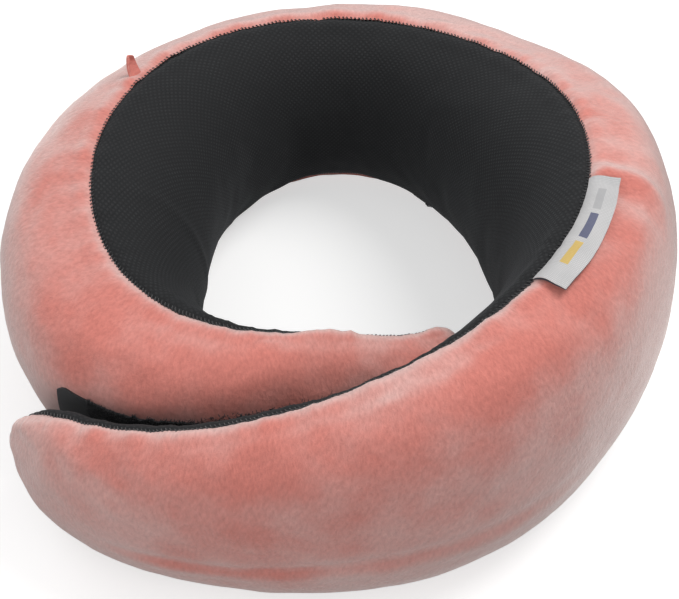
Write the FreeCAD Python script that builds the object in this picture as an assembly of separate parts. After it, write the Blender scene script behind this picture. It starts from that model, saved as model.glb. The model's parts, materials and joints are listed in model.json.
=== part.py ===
import FreeCAD, Part
import math
import os

# A wrap-around neck pillow: one curved band of memory foam in a sewn two-fabric cover.
# The band starts at the outer tip (front left), runs round the right side, the back and the left
# side, and ends at the inner tip, which lies behind the outer arm.  Millimetres, +Z up, the
# wearer's back towards +Y.  The pillow stands on its lower edge at Z = 0.

# ---- driving dimensions -------------------------------------------------------------------

# Each station of the band, from the outer tip to the inner tip:
# azimuth in degrees, distance of the centre line from the neck's axis, half thickness,
# half height, and how far the top seam sits inside the crest.
STATIONS = [
    (-153.5, 138.5, 12.5, 28, 2.5),  # outer tip
    (-133, 124, 16, 37, 3.5),
    (-101, 104, 21, 48, 7),      # outer arm, front
    (-70, 105, 25, 58, 13),
    (-34, 103, 27, 63, 7),
    (13, 100, 42, 59, 0),        # right side
    (53, 111, 35, 47, 2),
    (90, 122, 24, 42, 0),        # back of the neck
    (126, 105, 36, 47, -6),
    (165, 93, 44, 49, -2.5),     # left side
    (201, 92, 37.2, 44, 8),
    (235, 67.5, 20.5, 41, 10),
    (272, 46, 16, 37, 10),       # inner arm, front
    (328, 62, 12, 29, 6),        # inner tip
]
SECTION_POWER = 2.3            # 2 is an ellipse, higher is squarer
OUTER_TIP_ROUNDING = 34.0      # length over which the outer tip closes
INNER_TIP_ROUNDING = 14.0
OUTER_TIP_LIFT = 6.0           # the outer tip curls up off the table
LIFTED_LENGTH = 140.0
NECK_AXIS = (-2.0, -8.7)       # neck axis, measured from the middle of the pillow's footprint
SETTLED = 1.2                  # the foam settles this far, which flattens the underside

COVER = 2.4                    # thickness of plush and of lining with their backing
LINER = (2.6, 3.4)             # inner sock, as depths below the cover's surface
FOAM_DEPTH = 3.6
LOWER_SEAM_INSET = 0.62        # of the half thickness, towards the neck
SEAM_HALF_GAP = 1.1            # room between two cover edges for the seam cord
CORD_RADIUS = 0.5
CORD_SIDES = 8
CORD_RUN = 7.0                 # length of each straight run of a cord
BODY_GAP = 0.2                 # each side of a fold plane

# Where the band folds: azimuths of the three fold planes.
TIP_FOLD = -72
OUTER_FOLD = 5
INNER_FOLD = 175

# Hook-and-loop patches: azimuth range, lower and upper edge height
LOOP_PATCH = (204, 268, 20.0, 61.5, 59.0)
HOOK_PATCH = (-145, -92, 26.0, 58.0, 60.0)
PATCH_THICKNESS = 0.7
PATCH_STAND_OFF = 0.05

LABEL_AZIMUTHS = (-41.5, -9.5)
LABEL_WIDTH = 13.0
LABEL_THICKNESS = 0.9
TAB_AZIMUTH = 134
TAB_SIZE = (6.0, 2.0, 9.0)     # along the seam, across it, height

# Zip in the lower seam behind the neck.  It follows a circle, so that the slider can run on it.
ZIP_CENTRE = (3.5, 39.5)       # from the neck axis
ZIP_RADIUS = 59.6
ZIP_HEIGHT = 6.2
ZIP_SLOPE = 45.0               # the cover faces down and inwards here
ZIP_ANGLES = (38, 146)
ZIP_RECESS = 2.0               # the tapes are sewn under the cover
ZIP_HALF_GAP = 3.7             # the cover is open this far each side of the zip's line
SEAM_ENDS = (51, 128)          # azimuths where the stitched seam stops for the zip
SLIDER_HALF_ANGLE = 4.2

UP = FreeCAD.Vector(0, 0, 1)
NODES = {}


# ---- the band's centre line and sections --------------------------------------------------

def station_values(u):
    """Smooth the stations with a uniform cubic B-spline; u runs from 0 to the last station."""
    first = [2 * p - q for p, q in zip(STATIONS[0], STATIONS[1])]
    last = [2 * p - q for p, q in zip(STATIONS[-1], STATIONS[-2])]
    points = [first] + list(STATIONS) + [last]
    i = min(max(int(u), 0), len(STATIONS) - 2)
    t = u - i
    weights = ((1 - t) ** 3, 3 * t ** 3 - 6 * t ** 2 + 4, -3 * t ** 3 + 3 * t ** 2 + 3 * t + 1, t ** 3)
    return [sum(w * points[i + k][n] for k, w in enumerate(weights)) / 6 for n in range(5)]


def centre_point(u):
    azimuth, radius = station_values(u)[:2]
    angle = math.radians(azimuth)
    return FreeCAD.Vector(
        NECK_AXIS[0] + radius * math.cos(angle), NECK_AXIS[1] + radius * math.sin(angle), 0)


def measure_band(steps=1300):
    """Distance travelled along the centre line at evenly spaced values of u."""
    distances = [0.0]
    previous = centre_point(0)
    last_u = len(STATIONS) - 1
    for i in range(1, steps + 1):
        point = centre_point(last_u * i / steps)
        distances.append(distances[-1] + point.distanceToPoint(previous))
        previous = point
    return distances


DISTANCES = measure_band()
BAND_LENGTH = DISTANCES[-1]


def u_at_distance(s):
    low = 0
    high = len(DISTANCES) - 1
    while high - low > 1:
        middle = (low + high) // 2
        if DISTANCES[middle] <= s:
            low = middle
        else:
            high = middle
    share = (s - DISTANCES[low]) / (DISTANCES[high] - DISTANCES[low])
    return (low + share) * (len(STATIONS) - 1) / (len(DISTANCES) - 1)


def distance_at_azimuth(azimuth):
    low = 0.0
    high = float(len(STATIONS) - 1)
    for _ in range(40):
        middle = (low + high) / 2
        if station_values(middle)[0] < azimuth:
            low = middle
        else:
            high = middle
    return DISTANCES[round(low / (len(STATIONS) - 1) * (len(DISTANCES) - 1))]


def tip_factor(s):
    """Size of the section near the tips, as a share of the full section."""
    outer = min(max(1 - s / OUTER_TIP_ROUNDING, 0), 1)
    inner = min(max(1 - (BAND_LENGTH - s) / INNER_TIP_ROUNDING, 0), 1)
    return math.sqrt((1 - outer ** 2.2) * (1 - inner ** 2.2))


class Section:
    """The band cut square to its centre line, s along the band."""

    def __init__(self, s):
        u = u_at_distance(s)
        _, _, half_thickness, half_height, inset = station_values(u)
        step = 0.002
        ahead = centre_point(min(u + step, len(STATIONS) - 1))
        behind = centre_point(max(u - step, 0))
        self.tangent = (ahead - behind).normalize()
        self.outward = FreeCAD.Vector(self.tangent.y, -self.tangent.x, 0)
        self.share = tip_factor(s)
        lift = OUTER_TIP_LIFT * max(1 - s / LIFTED_LENGTH, 0) ** 2
        self.centre = centre_point(u) + UP * (half_height + lift - SETTLED)
        self.thick = half_thickness * self.share
        self.high = half_height * self.share
        self.top_seam = self.angle_at_inset(inset * self.share, 1)
        self.lower_seam = self.angle_at_inset(LOWER_SEAM_INSET * self.thick, -1)

    def angle_at_inset(self, inset, side):
        rise = self.high * (1 - abs(inset / self.thick) ** SECTION_POWER) ** (1 / SECTION_POWER)
        return math.atan2(side * rise, -inset) % (2 * math.pi)

    def angle_at_height(self, z, side):
        rise = z - self.centre.z
        share = min(abs(rise / self.high), 0.999)
        reach = self.thick * (1 - share ** SECTION_POWER) ** (1 / SECTION_POWER)
        return math.atan2(rise, side * reach)

    def half_sizes(self, depth, shrink):
        depth = min(depth, 0.6 * self.thick)
        return (self.thick - depth) * shrink, (self.high - depth) * shrink

    def point(self, angle, depth=0.0, shrink=1.0):
        thick, high = self.half_sizes(depth, shrink)
        across = abs(math.cos(angle)) / thick
        upward = abs(math.sin(angle)) / high
        reach = (across ** SECTION_POWER + upward ** SECTION_POWER) ** (-1 / SECTION_POWER)
        return self.centre + self.outward * (reach * math.cos(angle)) + UP * (reach * math.sin(angle))

    def arc(self, first, last, depth, shrink, count):
        """Points between two angles, spaced evenly as if the section were round."""
        thick, high = self.half_sizes(depth, shrink)
        rounded = []
        for angle in (first, last):
            even = math.atan2(math.sin(angle) / high, math.cos(angle) / thick)
            rounded.append(even + 2 * math.pi * round((angle - even) / (2 * math.pi)))
        points = []
        for i in range(count + 1):
            even = rounded[0] + (rounded[1] - rounded[0]) * i / count
            angle = math.atan2(high * math.sin(even), thick * math.cos(even))
            points.append(self.point(angle, depth, shrink))
        return points

    def turn(self, angle, length):
        """Move an angle round the section by a length along the surface."""
        steps = 8
        for _ in range(steps):
            here = self.point(angle)
            ahead = self.point(angle + 0.01)
            angle += 0.01 * length / steps / here.distanceToPoint(ahead)
        return angle


# ---- building blocks ----------------------------------------------------------------------

def positions(start, end, spacing=14.0):
    """Places for sections, closer together where a tip closes."""
    places = []
    if start < 10:
        places += [start + OUTER_TIP_ROUNDING * (i / 8) ** 2 for i in range(8)]
        start = start + OUTER_TIP_ROUNDING
    tail = []
    if end > BAND_LENGTH - 10:
        tail = [end - INNER_TIP_ROUNDING * (i / 6) ** 2 for i in range(5, -1, -1)]
        end = end - INNER_TIP_ROUNDING
    count = max(2, round((end - start) / spacing))
    places += [start + (end - start) * i / count for i in range(count + 1)]
    return places + tail


def curve(points):
    spline = Part.BSplineCurve()
    spline.interpolate(points)
    return spline.toShape()


def crescent_wire(section, angles, depths, shrink=1.0, count=18):
    """A strip of the section between two angles and two depths."""
    outside = section.arc(angles[0], angles[1], depths[0], 1.0, count)
    inside = section.arc(angles[1], angles[0], depths[1], shrink, count)
    return Part.Wire([
        curve(outside),
        Part.makeLine(outside[-1], inside[0]),
        curve(inside),
        Part.makeLine(inside[-1], outside[0]),
    ])


def oval_wire(section, depth, count=14):
    return Part.Wire([
        curve(section.arc(0, math.pi, depth, 1.0, count)),
        curve(section.arc(math.pi, 2 * math.pi, depth, 1.0, count)),
    ])


def loft(wires):
    return Part.makeLoft(wires, True, False)


def strip(start, end, angle_range, depths, spacing=14.0, count=18):
    """A strip that follows the band; angle_range gives its two edges at each section."""
    wires = []
    for s in positions(start, end, spacing):
        section = Section(s)
        shrink = min(1.0, max(0.25, 2 * section.share))
        wires.append(crescent_wire(section, angle_range(section, s), depths, shrink, count))
    return loft(wires)


def cord(start, end, seam_name):
    """Stitched seam cord in the gap between the two cover fabrics, in short straight runs."""
    wires = []
    for s in positions(start, end, CORD_RUN):
        section = Section(s)
        middle = section.point(getattr(section, seam_name), CORD_RADIUS + 0.1)
        corners = []
        for i in range(CORD_SIDES + 1):
            turn = 2 * math.pi * i / CORD_SIDES
            corners.append(middle + (section.outward * math.cos(turn) + UP * math.sin(turn)) * CORD_RADIUS)
        wires.append(Part.makePolygon(corners))
    return Part.makeLoft(wires, True, True)


def above_table(shape):
    table = Part.makeBox(600, 600, 60, FreeCAD.Vector(-300, -300, -60))
    return shape.cut(table)


def plush_edges(section, s):
    gap = min(SEAM_HALF_GAP, 0.3 * section.thick)
    low = section.turn(section.lower_seam, gap) - 2 * math.pi
    return (low, section.turn(section.top_seam, -gap))


def lining_edges(section, s):
    gap = min(SEAM_HALF_GAP, 0.3 * section.thick)
    high = section.turn(section.lower_seam, -gap)
    return (section.turn(section.top_seam, gap), high)


# ---- where the band is divided ------------------------------------------------------------

TIP_FOLD_AT = distance_at_azimuth(TIP_FOLD)
OUTER_FOLD_AT = distance_at_azimuth(OUTER_FOLD)
INNER_FOLD_AT = distance_at_azimuth(INNER_FOLD)
TIP_MARGIN = 0.8

SPANS = {
    "outer_tip": (TIP_MARGIN, TIP_FOLD_AT - BODY_GAP),
    "outer_arm": (TIP_FOLD_AT + BODY_GAP, OUTER_FOLD_AT - BODY_GAP),
    "back": (OUTER_FOLD_AT + BODY_GAP, INNER_FOLD_AT - BODY_GAP),
    "inner_arm": (INNER_FOLD_AT + BODY_GAP, BAND_LENGTH - TIP_MARGIN),
}


def inner_span(name, outer_margin, inner_margin):
    """The span of a filling piece, which stops short of the closed tips."""
    start, end = SPANS[name]
    if name == "outer_tip":
        start = outer_margin
    if name == "inner_arm":
        end = BAND_LENGTH - inner_margin
    return start, end


# ---- cover, liner, foam and seams ---------------------------------------------------------

for name, (start, end) in SPANS.items():
    NODES["plush_" + name] = above_table(strip(start, end, plush_edges, (0.0, COVER)))
    NODES["lining_" + name] = strip(start, end, lining_edges, (0.0, COVER))
    NODES["top_seam_" + name] = cord(*inner_span(name, 8.0, 9.0), "top_seam")

    foam_start, foam_end = inner_span(name, 6.0, 3.6)
    foam_places = positions(foam_start, foam_end)
    NODES["foam_" + name] = loft([oval_wire(Section(s), FOAM_DEPTH) for s in foam_places])

    sock_start, sock_end = inner_span(name, 4.6, 2.6)
    hollow_start, hollow_end = inner_span(name, 5.6, 3.3)
    sock = loft([oval_wire(Section(s), LINER[0]) for s in positions(sock_start, sock_end)])
    hollow = loft([oval_wire(Section(s), LINER[1]) for s in positions(hollow_start, hollow_end)])
    NODES["liner_" + name] = sock.cut(hollow)

for name in ("outer_tip", "outer_arm", "inner_arm"):
    NODES["lower_seam_" + name] = cord(*inner_span(name, 8.0, 9.0), "lower_seam")
NODES["lower_seam_back_right"] = cord(SPANS["back"][0], distance_at_azimuth(SEAM_ENDS[0]), "lower_seam")
NODES["lower_seam_back_left"] = cord(distance_at_azimuth(SEAM_ENDS[1]), SPANS["back"][1], "lower_seam")

# ---- hook-and-loop fastening --------------------------------------------------------------


def patch(settings, side):
    """A sewn patch between two heights on one side of the band."""
    from_azimuth, to_azimuth, low, high_first, high_last = settings
    start = distance_at_azimuth(from_azimuth)
    end = distance_at_azimuth(to_azimuth)

    def edges(section, s):
        high = high_first + (high_last - high_first) * (s - start) / (end - start)
        first = section.angle_at_height(low, side)
        last = section.angle_at_height(high, side)
        return (first, last) if side > 0 else (last % (2 * math.pi), first % (2 * math.pi))

    depths = (-PATCH_STAND_OFF - PATCH_THICKNESS, -PATCH_STAND_OFF)
    return strip(start, end, edges, depths, 10.0, 10)


NODES["loop_patch"] = patch(LOOP_PATCH, 1)
NODES["hook_patch"] = patch(HOOK_PATCH, -1)

# ---- label and tab on the top seam --------------------------------------------------------


def label_edges(section, s):
    return (section.turn(section.top_seam, -LABEL_WIDTH), section.turn(section.top_seam, -0.4))


label_span = [distance_at_azimuth(azimuth) for azimuth in LABEL_AZIMUTHS]
NODES["side_label"] = strip(*label_span, label_edges, (-0.3 - LABEL_THICKNESS, -0.3), 9.0, 8)

tab_section = Section(distance_at_azimuth(TAB_AZIMUTH))
tab_root = tab_section.point(tab_section.turn(tab_section.top_seam, -2.2), -0.5)
tab_length, tab_thickness, tab_height = TAB_SIZE
tab = Part.makeBox(
    tab_length, tab_thickness, tab_height, FreeCAD.Vector(-tab_length / 2, -tab_thickness / 2, 0))
tab = tab.makeFillet(0.7, tab.Edges)
tab.rotate(FreeCAD.Vector(), UP, math.degrees(math.atan2(tab_section.tangent.y, tab_section.tangent.x)))
tab.translate(tab_root)
NODES["seam_tab"] = tab

# ---- zip ----------------------------------------------------------------------------------

SLOPE = math.radians(ZIP_SLOPE)
ZIP_AXIS = FreeCAD.Vector(NECK_AXIS[0] + ZIP_CENTRE[0], NECK_AXIS[1] + ZIP_CENTRE[1], 0)


def zip_point(along, out, angle=0.0):
    """along: up the cover from the zip's line; out: away from the tapes' level."""
    out = out - ZIP_RECESS
    radius = ZIP_RADIUS - along * math.cos(SLOPE) - out * math.sin(SLOPE)
    z = ZIP_HEIGHT + along * math.sin(SLOPE) - out * math.cos(SLOPE)
    turn = math.radians(angle)
    return ZIP_AXIS + FreeCAD.Vector(radius * math.cos(turn), radius * math.sin(turn), z)


def zip_sweep(corners, first_angle, last_angle):
    """Sweep a profile, given as (along, out) corners, round the zip's circle."""
    points = [zip_point(along, out, first_angle) for along, out in corners]
    face = Part.Face(Part.makePolygon(points + points[:1]))
    return face.revolve(ZIP_AXIS, UP, last_angle - first_angle)


def rectangle(along_low, along_high, out_low, out_high):
    return [
        (along_low, out_low), (along_high, out_low), (along_high, out_high), (along_low, out_high)]


first, last = ZIP_ANGLES
opening = zip_sweep(rectangle(-ZIP_HALF_GAP, ZIP_HALF_GAP, -3.0, 6.0), first - 3, last + 3)
groove = zip_sweep(rectangle(-7.5, 7.5, -2.4, 6.0), first - 4, last + 4)
for node, room in (
        ("plush_back", opening), ("lining_back", opening), ("liner_back", groove), ("foam_back", groove)):
    NODES[node] = NODES[node].cut(room)

NODES["zip_teeth_upper"] = zip_sweep(rectangle(0.05, 1.5, -0.9, 0.5), first, last)
NODES["zip_teeth_lower"] = zip_sweep(rectangle(-1.5, -0.05, -0.9, 0.5), first, last)
NODES["zip_tape_upper"] = zip_sweep(rectangle(1.55, 5.6, -0.9, -0.4), first - 2, last + 2)
NODES["zip_tape_lower"] = zip_sweep(rectangle(-5.6, -1.55, -0.9, -0.4), first - 2, last + 2)
NODES["zip_end_stop_right"] = zip_sweep(rectangle(-1.9, 1.9, -0.3, 0.9), first - 1.9, first - 0.1)
NODES["zip_end_stop_left"] = zip_sweep(rectangle(-1.9, 1.9, -0.3, 0.9), last + 0.1, last + 1.9)

# The slider is a channel over the teeth.  Its bar carries the pull.
slider_angle = first + SLIDER_HALF_ANGLE + 0.4
channel = [
    (-2.9, 0.0), (-2.0, 0.0), (-2.0, 0.9), (2.0, 0.9), (2.0, 0.0), (2.9, 0.0), (2.9, 1.4), (-2.9, 1.4)]
slider = zip_sweep(channel, slider_angle - SLIDER_HALF_ANGLE, slider_angle + SLIDER_HALF_ANGLE)
BAR_OUT = 2.9
BAR_RADIUS = 0.45
POST_HALF_ANGLE = 1.0
for along in (-2.9, 2.1):
    post = zip_sweep(
        rectangle(along, along + 0.8, 1.3, BAR_OUT + 0.6),
        slider_angle - POST_HALF_ANGLE, slider_angle + POST_HALF_ANGLE)
    slider = slider.fuse(post)
bar_start = zip_point(-2.5, BAR_OUT, slider_angle)
bar_end = zip_point(2.5, BAR_OUT, slider_angle)
bar_direction = (bar_end - bar_start).normalize()
slider = slider.fuse(Part.makeCylinder(BAR_RADIUS, 5.0, bar_start, bar_direction))
NODES["zip_slider"] = slider.removeSplitter()

# The pull lies along the zip and swings on the bar by a rolled eye.
EYE_RADIUS = 1.15
BORE_RADIUS = 0.65
PULL_WIDTH = 3.2
PULL_LENGTH = 9.0
PULL_THICKNESS = 0.8
eye_start = zip_point(-PULL_WIDTH / 2, BAR_OUT, slider_angle)
out_direction = (zip_point(0, 1, slider_angle) - zip_point(0, 0, slider_angle)).normalize()
lengthwise = out_direction.cross(bar_direction)
eye = Part.makeCylinder(EYE_RADIUS, PULL_WIDTH, eye_start, bar_direction)
plate = Part.makeBox(PULL_WIDTH, PULL_LENGTH, PULL_THICKNESS)
plate = plate.makeFillet(1.2, [edge for edge in plate.Edges if edge.BoundBox.YMin > 1 and edge.Length < 2])
plate.translate(FreeCAD.Vector(0, 0.85, -PULL_THICKNESS / 2))
placement = FreeCAD.Matrix(
    bar_direction.x, lengthwise.x, out_direction.x, eye_start.x,
    bar_direction.y, lengthwise.y, out_direction.y, eye_start.y,
    bar_direction.z, lengthwise.z, out_direction.z, eye_start.z,
    0, 0, 0, 1)
plate.transformShape(placement)
bore = Part.makeCylinder(BORE_RADIUS, PULL_WIDTH + 0.2, eye_start - bar_direction * 0.1, bar_direction)
NODES["zip_pull"] = eye.fuse(plate).cut(bore).removeSplitter()

# ---- write one file per piece -------------------------------------------------------------

os.makedirs("parts", exist_ok=True)
for node, shape in NODES.items():
    shape.Solids[0].exportStep("parts/" + node + ".step")
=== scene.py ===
import json
import math

import bpy
import numpy as np
from mathutils import Matrix, Vector, noise

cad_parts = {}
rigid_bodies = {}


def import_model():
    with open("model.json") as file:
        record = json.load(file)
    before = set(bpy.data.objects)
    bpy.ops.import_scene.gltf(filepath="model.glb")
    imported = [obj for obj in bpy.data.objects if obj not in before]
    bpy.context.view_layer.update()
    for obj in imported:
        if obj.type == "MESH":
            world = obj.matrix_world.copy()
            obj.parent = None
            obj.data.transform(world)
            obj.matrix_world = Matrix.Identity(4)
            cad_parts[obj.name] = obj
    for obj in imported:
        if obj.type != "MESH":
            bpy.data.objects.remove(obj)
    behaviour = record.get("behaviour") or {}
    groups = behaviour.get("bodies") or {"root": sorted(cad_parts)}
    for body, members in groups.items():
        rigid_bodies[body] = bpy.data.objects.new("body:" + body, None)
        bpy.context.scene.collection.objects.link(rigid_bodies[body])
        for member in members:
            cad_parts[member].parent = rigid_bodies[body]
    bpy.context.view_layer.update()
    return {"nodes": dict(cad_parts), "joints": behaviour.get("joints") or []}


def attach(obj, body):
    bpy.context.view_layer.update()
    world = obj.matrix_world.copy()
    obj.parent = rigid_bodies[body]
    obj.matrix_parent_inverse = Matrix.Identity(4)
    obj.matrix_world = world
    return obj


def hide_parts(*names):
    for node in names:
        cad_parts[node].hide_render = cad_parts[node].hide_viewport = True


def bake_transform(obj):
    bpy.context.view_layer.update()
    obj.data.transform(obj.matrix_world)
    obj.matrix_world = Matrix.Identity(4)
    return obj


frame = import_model()

MM = 0.001

# ---- the band, as in the CAD model ----------------------------------------------------------
# azimuth in degrees, distance from the neck axis, half thickness, half height, seam inset (mm)
STATIONS = np.array([
    (-153.5, 138.5, 12.5, 28, 2.5),  # outer tip
    (-133, 124, 16, 37, 3.5),
    (-101, 104, 21, 48, 7),          # outer arm, front
    (-70, 105, 25, 58, 13),
    (-34, 103, 27, 63, 7),
    (13, 100, 42, 59, 0),            # right side
    (53, 111, 35, 47, 2),
    (90, 122, 24, 42, 0),            # back of the neck
    (126, 105, 36, 47, -6),
    (165, 93, 44, 49, -2.5),         # left side
    (201, 92, 37.2, 44, 8),
    (235, 67.5, 20.5, 41, 10),
    (272, 46, 16, 37, 10),           # inner arm, front
    (328, 62, 12, 29, 6),            # inner tip
], float)
SECTION_POWER = 2.3
OUTER_TIP_ROUNDING = 34 * MM
INNER_TIP_ROUNDING = 14 * MM
OUTER_TIP_LIFT = 6 * MM
LIFTED_LENGTH = 140 * MM
NECK_AXIS = np.array([-2.0, -8.7, 0.0]) * MM
SETTLED = 1.2 * MM
LOWER_SEAM_INSET = 0.62        # of the half thickness
ZIP_HALF_GAP = 3.7 * MM

UP = np.array([0.0, 0.0, 1.0])


def spline(values, u):
    """Uniform cubic B-spline through stations, as rows, at parameters u."""
    points = np.vstack([2 * values[0] - values[1], values, 2 * values[-1] - values[-2]])
    i = np.clip(np.floor(u).astype(int), 0, len(values) - 2)
    t = (u - i)[:, None]
    return ((1 - t) ** 3 * points[i] + (3 * t ** 3 - 6 * t ** 2 + 4) * points[i + 1]
            + (-3 * t ** 3 + 3 * t ** 2 + 3 * t + 1) * points[i + 2] + t ** 3 * points[i + 3]) / 6


class Band:
    """Sizes and directions of the pillow's band at any distance along it, from the outer tip."""

    def __init__(self, steps=4000):
        values = spline(STATIONS, np.linspace(0, len(STATIONS) - 1, steps))
        self.azimuth = values[:, 0]
        angle = np.radians(self.azimuth)
        radius = values[:, 1] * MM
        self.centre = NECK_AXIS + np.stack(
            [radius * np.cos(angle), radius * np.sin(angle), 0 * angle], 1)
        legs = np.linalg.norm(np.diff(self.centre, axis=0), axis=1)
        self.s = np.concatenate([[0], np.cumsum(legs)])
        self.length = self.s[-1]
        direction = np.gradient(self.centre, self.s, axis=0)
        direction /= np.linalg.norm(direction, axis=1)[:, None]
        self.tangent = direction
        outer = np.clip(1 - self.s / OUTER_TIP_ROUNDING, 0, 1)
        inner = np.clip(1 - (self.length - self.s) / INNER_TIP_ROUNDING, 0, 1)
        self.share = np.sqrt((1 - outer ** 2.2) * (1 - inner ** 2.2))
        half_height = values[:, 3] * MM
        lift = OUTER_TIP_LIFT * np.clip(1 - self.s / LIFTED_LENGTH, 0, None) ** 2
        self.centre[:, 2] = half_height + lift - SETTLED
        self.thick = np.maximum(values[:, 2] * MM * self.share, 1e-5)
        self.high = np.maximum(half_height * self.share, 1e-5)
        self.inset = values[:, 4] * MM * self.share

    def at(self, s):
        """Everything about the sections at distances s."""
        s = np.asarray(s, float)

        def pick(values):
            if values.ndim == 1:
                return np.interp(s, self.s, values)
            return np.stack([np.interp(s, self.s, values[:, k]) for k in range(values.shape[1])], -1)

        tangent = pick(self.tangent)
        tangent /= np.linalg.norm(tangent, axis=-1, keepdims=True)
        outward = np.stack([tangent[..., 1], -tangent[..., 0], 0 * s], -1)
        return {
            "centre": pick(self.centre), "tangent": tangent, "outward": outward,
            "thick": pick(self.thick), "high": pick(self.high), "share": pick(self.share),
            "inset": pick(self.inset),
        }

    def distance(self, azimuth):
        return float(np.interp(azimuth, self.azimuth, self.s))


BAND = Band()


def surface(at, angle, stand_off=0.0):
    """Points on sections at a polar angle, 0 outward and 90 degrees up."""
    thick = at["thick"] + stand_off
    high = at["high"] + stand_off
    across = np.abs(np.cos(angle)) / thick
    upward = np.abs(np.sin(angle)) / high
    reach = (across ** SECTION_POWER + upward ** SECTION_POWER) ** (-1 / SECTION_POWER)
    return (at["centre"] + at["outward"] * (reach * np.cos(angle))[..., None]
            + UP * (reach * np.sin(angle))[..., None])


def angle_at_inset(at, inset, side):
    share = np.abs(inset / at["thick"])
    rise = at["high"] * (1 - share ** SECTION_POWER) ** (1 / SECTION_POWER)
    return np.mod(np.arctan2(side * rise, -inset), 2 * np.pi)


def smooth(low, high, x):
    t = np.clip((x - low) / (high - low), 0, 1)
    return t * t * (3 - 2 * t)


def bell(x, width):
    return np.exp(-(x / width) ** 2)


def cloud(points, scale, octaves=3, offset=0.0):
    """Smooth noise, about -1 to 1, with features of the given size in metres."""
    flat = points.reshape(-1, 3) / scale + offset
    values = [noise.fractal(Vector(p), 0.9, 2.0, octaves) for p in flat]
    return np.array(values).reshape(points.shape[:-1])


# ---- grids of cloth laid over the band -------------------------------------------------------

STEP_ALONG = 1.6 * MM
PAINTED_SHEEN_AXIS = np.array([0.0, -0.65, 0.76])     # painted sheen: cloth facing along this line keeps the deep colour, cloth turned across it is painted paler
ZIP_FROM = BAND.distance(52.6)
ZIP_TO = BAND.distance(127.3)


# the zip's line is part of a circle
ZIP_AXIS = NECK_AXIS[:2] + np.array([3.5, 39.5]) * MM
ZIP_RADIUS = 59.6 * MM
ZIP_HEIGHT = 6.2 * MM


def zip_window(s, ramp=3 * MM):
    return smooth(0, 1, np.minimum((s - ZIP_FROM + ramp) / ramp, (ZIP_TO + ramp - s) / ramp))


def zip_line_angle(at):
    """Section angle at which the band crosses the zip's circle, on the neck side."""
    from_axis = at["centre"][:, :2] - ZIP_AXIS
    outward = at["outward"][:, :2]
    reach = np.sum(from_axis * outward, axis=1)
    inside = reach ** 2 - np.sum(from_axis ** 2, axis=1) + ZIP_RADIUS ** 2
    across = np.sqrt(np.maximum(inside, 0)) - reach
    return np.mod(np.arctan2(ZIP_HEIGHT - at["centre"][:, 2], across), 2 * np.pi)


def places_along():
    """Distances along the band, closer together at the tips."""
    start = OUTER_TIP_ROUNDING * np.linspace(0.01, 1, 40) ** 2
    end = BAND.length - INNER_TIP_ROUNDING * np.linspace(1, 0.01, 28) ** 2
    count = round((end[0] - start[-1]) / STEP_ALONG)
    return np.concatenate([start[:-1], np.linspace(start[-1], end[0], count), end[1:]])


def cloth_grid(side, count):
    """Base grid of one cover fabric: rows along the band, columns from the top to the lower seam."""
    s = places_along()
    at = BAND.at(s)
    top = angle_at_inset(at, at["inset"], 1)
    low = angle_at_inset(at, LOWER_SEAM_INSET * at["thick"], -1)
    lever = np.hypot(LOWER_SEAM_INSET * at["thick"], 0.84 * at["high"])
    gap = ZIP_HALF_GAP * zip_window(s) / lever
    low = low + (zip_line_angle(at) - low) * zip_window(s, 15 * MM)
    if side == "plush":
        first, last = top, low - 2 * np.pi + gap
    else:
        first, last = top, low - gap
    evens = []
    for angle in (first, last):
        even = np.arctan2(np.sin(angle) / at["high"], np.cos(angle) / at["thick"])
        evens.append(even + 2 * np.pi * np.round((angle - even) / (2 * np.pi)))
    share = np.linspace(0, 1, count)[None, :]
    share = share - 0.045 * np.sin(2 * np.pi * share)     # closer together at both seams
    even = evens[0][:, None] * (1 - share) + evens[1][:, None] * share
    wide = {key: np.repeat(value[:, None], count, 1) for key, value in at.items()}
    angle = np.arctan2(wide["high"] * np.sin(even), wide["thick"] * np.cos(even))
    points = surface(wide, angle)
    points[..., 2] = np.maximum(points[..., 2], 0.15 * MM)
    across = np.concatenate([
        np.zeros((len(s), 1)), np.cumsum(np.linalg.norm(np.diff(points, axis=1), axis=2), 1)], 1)
    return {"s": np.repeat(s[:, None], count, 1), "across": across, "points": points, "side": side}


def grid_normals(points, side):
    along = np.gradient(points, axis=0)
    across = np.gradient(points, axis=1)
    normals = np.cross(across, along) if side == "plush" else np.cross(along, across)
    return normals / np.maximum(np.linalg.norm(normals, axis=2), 1e-12)[..., None]


def displace(grid, amount):
    normals = grid_normals(grid["points"], grid["side"])
    grid["points"] = grid["points"] + normals * amount[..., None]
    grid["points"][..., 2] = np.maximum(grid["points"][..., 2], 0.1 * MM)


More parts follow.
